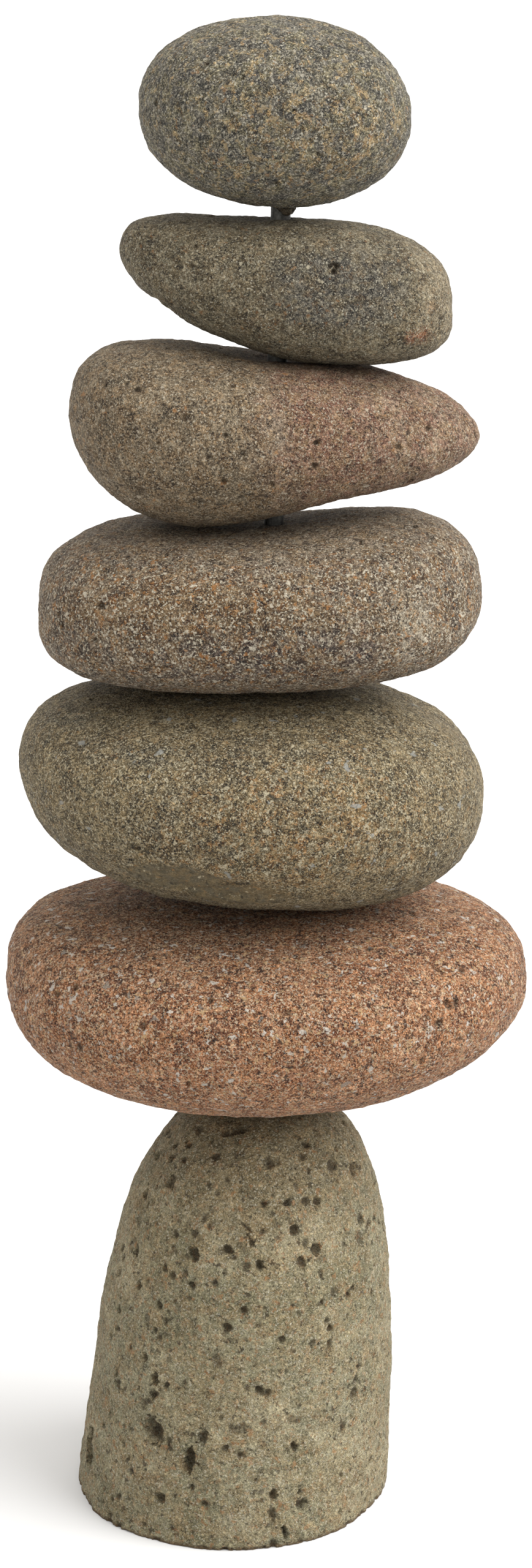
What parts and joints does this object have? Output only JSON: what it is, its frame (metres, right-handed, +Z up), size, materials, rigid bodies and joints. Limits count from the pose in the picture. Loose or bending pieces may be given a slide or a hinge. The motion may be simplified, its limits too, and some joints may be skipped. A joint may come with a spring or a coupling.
{
  "type": "stone cairn",
  "caption": "Upright garden cairn of drilled waterworn stones threaded on a steel rod, standing on a tall pitted foot stone that is sawn flat.",
  "frame": {"origin": "middle of the foot stone's sawn face, which is the face it stands on", "axes": "+Z up along the cairn; the pictured front faces -Y; +X is to the right seen from the front"},
  "size_m": [0.2567, 0.2357, 0.7358],
  "materials": {
    "foot_stone": "rough greenish grey rock with open gas pits",
    "red_stone": "matt terracotta rock with dark and white flecks",
    "olive_stone": "matt olive grey rock with golden crystals",
    "loaf_stone": "matt mauve brown rock with white and orange crystals",
    "tapered_stone": "matt grey brown rock, pinkish towards the tapered end",
    "wedge_stone": "matt grey brown rock with a blue grey face and rust stains",
    "cap_stone": "matt blue grey needle-grained rock with tan patches",
    "steel": "bare drawn bar, dull",
    "resin": "set dark resin with stone dust in it"
  },
  "bodies": {
    "root": {"foot_stone": "foot_stone", "red_stone": "red_stone", "olive_stone": "olive_stone", "loaf_stone": "loaf_stone", "tapered_stone": "tapered_stone", "wedge_stone": "wedge_stone", "cap_stone": "cap_stone", "rod": "steel", "glue_bead": "resin"}
  },
  "joints": []
}
